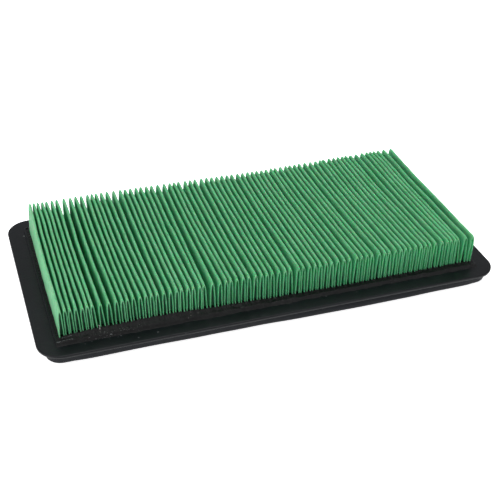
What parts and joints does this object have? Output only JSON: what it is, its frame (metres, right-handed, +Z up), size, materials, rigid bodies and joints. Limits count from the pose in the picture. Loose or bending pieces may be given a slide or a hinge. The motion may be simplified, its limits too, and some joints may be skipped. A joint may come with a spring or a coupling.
{
  "type": "pleated panel air filter element",
  "caption": "Flat rectangular engine air filter element: green pleated paper pack potted in a black moulded flange frame, with a soft sealing ring under the flange.",
  "frame": {"origin": "centre of the element, on the plane of the outlet rim's bottom face, which is the lowest plane", "axes": "+X along the long side, +Y along the pleats, +Z up out of the dusty side of the pleats"},
  "size_m": [0.235, 0.1226, 0.0254],
  "materials": {
    "frame": "satin moulded",
    "seal": "satin",
    "potting": "cured compound, uneven",
    "media": "matte fibrous",
    "plug": "hot-melt, dull",
    "screen": "zinc plated"
  },
  "bodies": {
    "root": {"moulded_frame": "frame", "perimeter_seal": "seal", "potting_seal": "potting", "pleated_media": "media", "pleat_end_plugs_front": "plug", "pleat_end_plugs_rear": "plug", "support_screen": "screen"}
  },
  "joints": []
}
